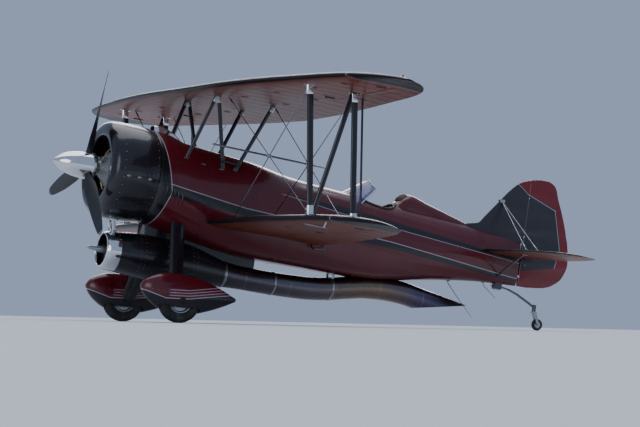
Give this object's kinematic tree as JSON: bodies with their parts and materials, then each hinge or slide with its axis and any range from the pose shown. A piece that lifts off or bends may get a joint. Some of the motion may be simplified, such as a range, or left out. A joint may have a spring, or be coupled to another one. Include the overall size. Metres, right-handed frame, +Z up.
{
  "type": "taper-wing aerobatic biplane with a radial engine and a belly-slung jet",
  "caption": "Open-cockpit aerobatic biplane with cowled radial engine, faired wheels, braced wings and tail, and a small turbojet with a long tailpipe under the belly.",
  "frame": {"origin": "on the floor, at the centre of the parked aeroplane's bounding box", "axes": "nose towards -X, port wing towards -Y, +Z up; the airframe stands nose up on its wheels"},
  "size_m": [7.2024, 9.2, 3.0546],
  "materials": {
    "fuselage_paint": "deep gloss maroon with black and light grey bands",
    "cowling_paint": "gloss black",
    "wing_paint": "gloss red-brown doped fabric over ribs",
    "tail_paint": "gloss charcoal with red edges",
    "spat_paint": "gloss maroon and black with fine stripes",
    "strut_paint": "gloss black",
    "propeller_paint": "dark grey with pale tips",
    "nacelle_paint": "gloss black",
    "panel_paint": "matt black",
    "chrome": "polished",
    "steel": "satin",
    "spring_steel": "dark satin",
    "tailpipe_metal": "heat-darkened, drawn lengthwise",
    "engine_metal": "dark cast metal",
    "wheel_metal": "satin",
    "tyre": "matt rubber",
    "seat_leather": "worn dark leather",
    "windshield_glass": "blue-violet tint"
  },
  "bodies": {
    "airframe": {"fuselage": "fuselage_paint", "headrest_fairing": "fuselage_paint", "cowling": "cowling_paint", "radial_engine": "engine_metal", "upper_wing_left": "wing_paint", "upper_wing_right": "wing_paint", "lower_wing_left": "wing_paint", "lower_wing_right": "wing_paint", "interplane_struts_left": "strut_paint", "interplane_struts_right": "strut_paint", "cabane_struts_left": "strut_paint", "cabane_struts_right": "strut_paint", "bracing_wires_left": "steel", "bracing_wires_right": "steel", "fin": "tail_paint", "stabilizer_left": "wing_paint", "stabilizer_right": "wing_paint", "tail_wires_left": "steel", "tail_wires_right": "steel", "tail_strut_left": "strut_paint", "tail_strut_right": "strut_paint", "jet_nacelle": "nacelle_paint", "jet_intake_ring": "chrome", "jet_intake_bullet": "steel", "jet_engine": "engine_metal", "jet_tailpipe": "tailpipe_metal", "jet_pylon": "nacelle_paint", "gear_leg_left": "strut_paint", "gear_leg_right": "strut_paint", "wheel_spat_left": "spat_paint", "wheel_spat_right": "spat_paint", "tail_spring": "spring_steel", "windshield_frame": "steel", "windshield_glass": "windshield_glass", "pilot_seat": "seat_leather", "instrument_panel": "panel_paint", "control_stick": "engine_metal", "air_scoop": "chrome"},
    "propeller": {"spinner": "chrome", "propeller_hub": "steel", "propeller_blade_1": "propeller_paint", "propeller_blade_2": "propeller_paint", "propeller_blade_3": "propeller_paint"},
    "upper_aileron_left": {"aileron_upper_left": "wing_paint"},
    "upper_aileron_right": {"aileron_upper_right": "wing_paint"},
    "lower_aileron_left": {"aileron_lower_left": "wing_paint"},
    "lower_aileron_right": {"aileron_lower_right": "wing_paint"},
    "link_left": {"aileron_link_left": "strut_paint"},
    "link_right": {"aileron_link_right": "strut_paint"},
    "rudder": {"rudder": "tail_paint"},
    "elevators": {"elevator_left": "wing_paint", "elevator_right": "wing_paint", "elevator_torque_tube": "steel"},
    "wheel_left": {"main_tyre_left": "tyre", "main_wheel_left": "wheel_metal"},
    "wheel_right": {"main_tyre_right": "tyre", "main_wheel_right": "wheel_metal"},
    "tail_fork": {"tail_fork": "steel"},
    "tail_wheel": {"tail_wheel": "tyre"}
  },
  "joints": [
    {"name": "propeller_spin", "type": "hinge", "parent": "airframe", "child": "propeller", "pos_m": [-3.17459, 0, 1.8946], "axis": [0.9921, 0, -0.1251], "continuous": true},
    {"name": "lower_aileron_left_hinge", "type": "hinge", "parent": "airframe", "child": "lower_aileron_left", "pos_m": [-0.77501, -1.85, 1.14116], "axis": [0.0538, 0.9985, -0.0123], "range_deg": [-22, 22]},
    {"name": "lower_aileron_right_hinge", "type": "hinge", "parent": "airframe", "child": "lower_aileron_right", "pos_m": [-0.77501, 1.85, 1.14116], "axis": [-0.0538, 0.9985, 0.0123], "range_deg": [-22, 22]},
    {"name": "upper_aileron_left_hinge", "type": "hinge", "parent": "airframe", "child": "upper_aileron_left", "pos_m": [-0.78967, -2.05, 2.74323], "axis": [0.0538, 0.9985, -0.0123], "range_deg": [-22, 22]},
    {"name": "upper_aileron_right_hinge", "type": "hinge", "parent": "airframe", "child": "upper_aileron_right", "pos_m": [-0.78967, 2.05, 2.74323], "axis": [-0.0538, 0.9985, 0.0123], "range_deg": [-22, 22]},
    {"name": "link_left_hinge", "type": "hinge", "parent": "lower_aileron_left", "child": "link_left", "pos_m": [-0.68644, -2.6, 1.13415], "axis": [0.0538, 0.9985, -0.0123], "range_deg": [-22, 22]},
    {"name": "link_right_hinge", "type": "hinge", "parent": "lower_aileron_right", "child": "link_right", "pos_m": [-0.68644, 2.6, 1.13415], "axis": [-0.0538, 0.9985, 0.0123], "range_deg": [-22, 22]},
    {"name": "rudder_hinge", "type": "hinge", "parent": "airframe", "child": "rudder", "pos_m": [2.93204, 0, 1.12447], "axis": [0.1251, 0, 0.9921], "range_deg": [-28, 28]},
    {"name": "elevator_hinge", "type": "hinge", "parent": "airframe", "child": "elevators", "pos_m": [2.82643, 0, 0.96644], "axis": [0, 1, 0], "range_deg": [-25, 25]},
    {"name": "wheel_left_spin", "type": "hinge", "parent": "airframe", "child": "wheel_left", "pos_m": [-2.28084, -0.925, 0.27], "axis": [0, 1, 0], "continuous": true},
    {"name": "wheel_right_spin", "type": "hinge", "parent": "airframe", "child": "wheel_right", "pos_m": [-2.28084, 0.925, 0.27], "axis": [0, 1, 0], "continuous": true},
    {"name": "tail_fork_swivel", "type": "hinge", "parent": "airframe", "child": "tail_fork", "pos_m": [3.11121, 0, 0.28344], "axis": [0.1251, 0, 0.9921], "range_deg": [-40, 40]},
    {"name": "tail_wheel_spin", "type": "hinge", "parent": "tail_fork", "child": "tail_wheel", "pos_m": [3.15762, 0, 0.076], "axis": [0, 1, 0], "continuous": true}
  ],
  "couplings": [
    {"joint": "upper_aileron_left_hinge", "follows": "lower_aileron_left_hinge", "ratio": 1},
    {"joint": "link_left_hinge", "follows": "lower_aileron_left_hinge", "ratio": -1},
    {"joint": "lower_aileron_right_hinge", "follows": "lower_aileron_left_hinge", "ratio": -1},
    {"joint": "upper_aileron_right_hinge", "follows": "lower_aileron_left_hinge", "ratio": -1},
    {"joint": "link_right_hinge", "follows": "lower_aileron_left_hinge", "ratio": 1}
  ]
}
